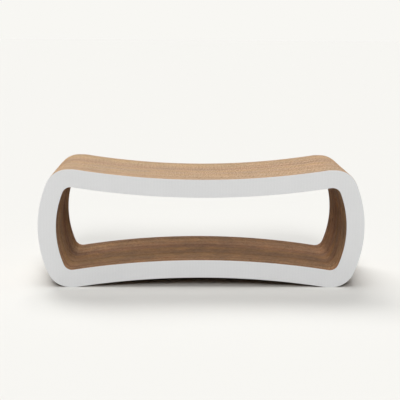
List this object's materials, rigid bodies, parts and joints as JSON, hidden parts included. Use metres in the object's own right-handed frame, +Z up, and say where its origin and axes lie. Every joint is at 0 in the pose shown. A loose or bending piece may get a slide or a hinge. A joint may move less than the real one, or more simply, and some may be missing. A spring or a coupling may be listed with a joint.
{
  "type": "cat scratcher",
  "caption": "Loop-shaped cardboard cat scratcher and lounger: a stack of ring-shaped corrugated sheets glued between two white cover boards, with a through window.",
  "frame": {"origin": "on the floor, at the middle of the footprint", "axes": "+X along the length, +Y through the stack from the front cover to the rear cover, +Z up"},
  "size_m": [0.7, 0.23, 0.257],
  "materials": {
    "kraft_corrugated": "matte natural kraft board, cut edges showing the flutes",
    "white_board": "white coated board, satin, brown core at the cut edges"
  },
  "bodies": {
    "root": {"front_cover": "white_board", "corrugated_sheet_01": "kraft_corrugated", "corrugated_sheet_02": "kraft_corrugated", "corrugated_sheet_03": "kraft_corrugated", "corrugated_sheet_04": "kraft_corrugated", "corrugated_sheet_05": "kraft_corrugated", "corrugated_sheet_06": "kraft_corrugated", "corrugated_sheet_07": "kraft_corrugated", "corrugated_sheet_08": "kraft_corrugated", "corrugated_sheet_09": "kraft_corrugated", "corrugated_sheet_10": "kraft_corrugated", "corrugated_sheet_11": "kraft_corrugated", "corrugated_sheet_12": "kraft_corrugated", "corrugated_sheet_13": "kraft_corrugated", "corrugated_sheet_14": "kraft_corrugated", "corrugated_sheet_15": "kraft_corrugated", "corrugated_sheet_16": "kraft_corrugated", "corrugated_sheet_17": "kraft_corrugated", "corrugated_sheet_18": "kraft_corrugated", "corrugated_sheet_19": "kraft_corrugated", "corrugated_sheet_20": "kraft_corrugated", "corrugated_sheet_21": "kraft_corrugated", "corrugated_sheet_22": "kraft_corrugated", "corrugated_sheet_23": "kraft_corrugated", "corrugated_sheet_24": "kraft_corrugated", "corrugated_sheet_25": "kraft_corrugated", "corrugated_sheet_26": "kraft_corrugated", "corrugated_sheet_27": "kraft_corrugated", "corrugated_sheet_28": "kraft_corrugated", "corrugated_sheet_29": "kraft_corrugated", "corrugated_sheet_30": "kraft_corrugated", "corrugated_sheet_31": "kraft_corrugated", "corrugated_sheet_32": "kraft_corrugated", "corrugated_sheet_33": "kraft_corrugated", "corrugated_sheet_34": "kraft_corrugated", "corrugated_sheet_35": "kraft_corrugated", "corrugated_sheet_36": "kraft_corrugated", "corrugated_sheet_37": "kraft_corrugated", "corrugated_sheet_38": "kraft_corrugated", "corrugated_sheet_39": "kraft_corrugated", "corrugated_sheet_40": "kraft_corrugated", "corrugated_sheet_41": "kraft_corrugated", "corrugated_sheet_42": "kraft_corrugated", "corrugated_sheet_43": "kraft_corrugated", "corrugated_sheet_44": "kraft_corrugated", "corrugated_sheet_45": "kraft_corrugated", "rear_cover": "white_board"}
  },
  "joints": []
}
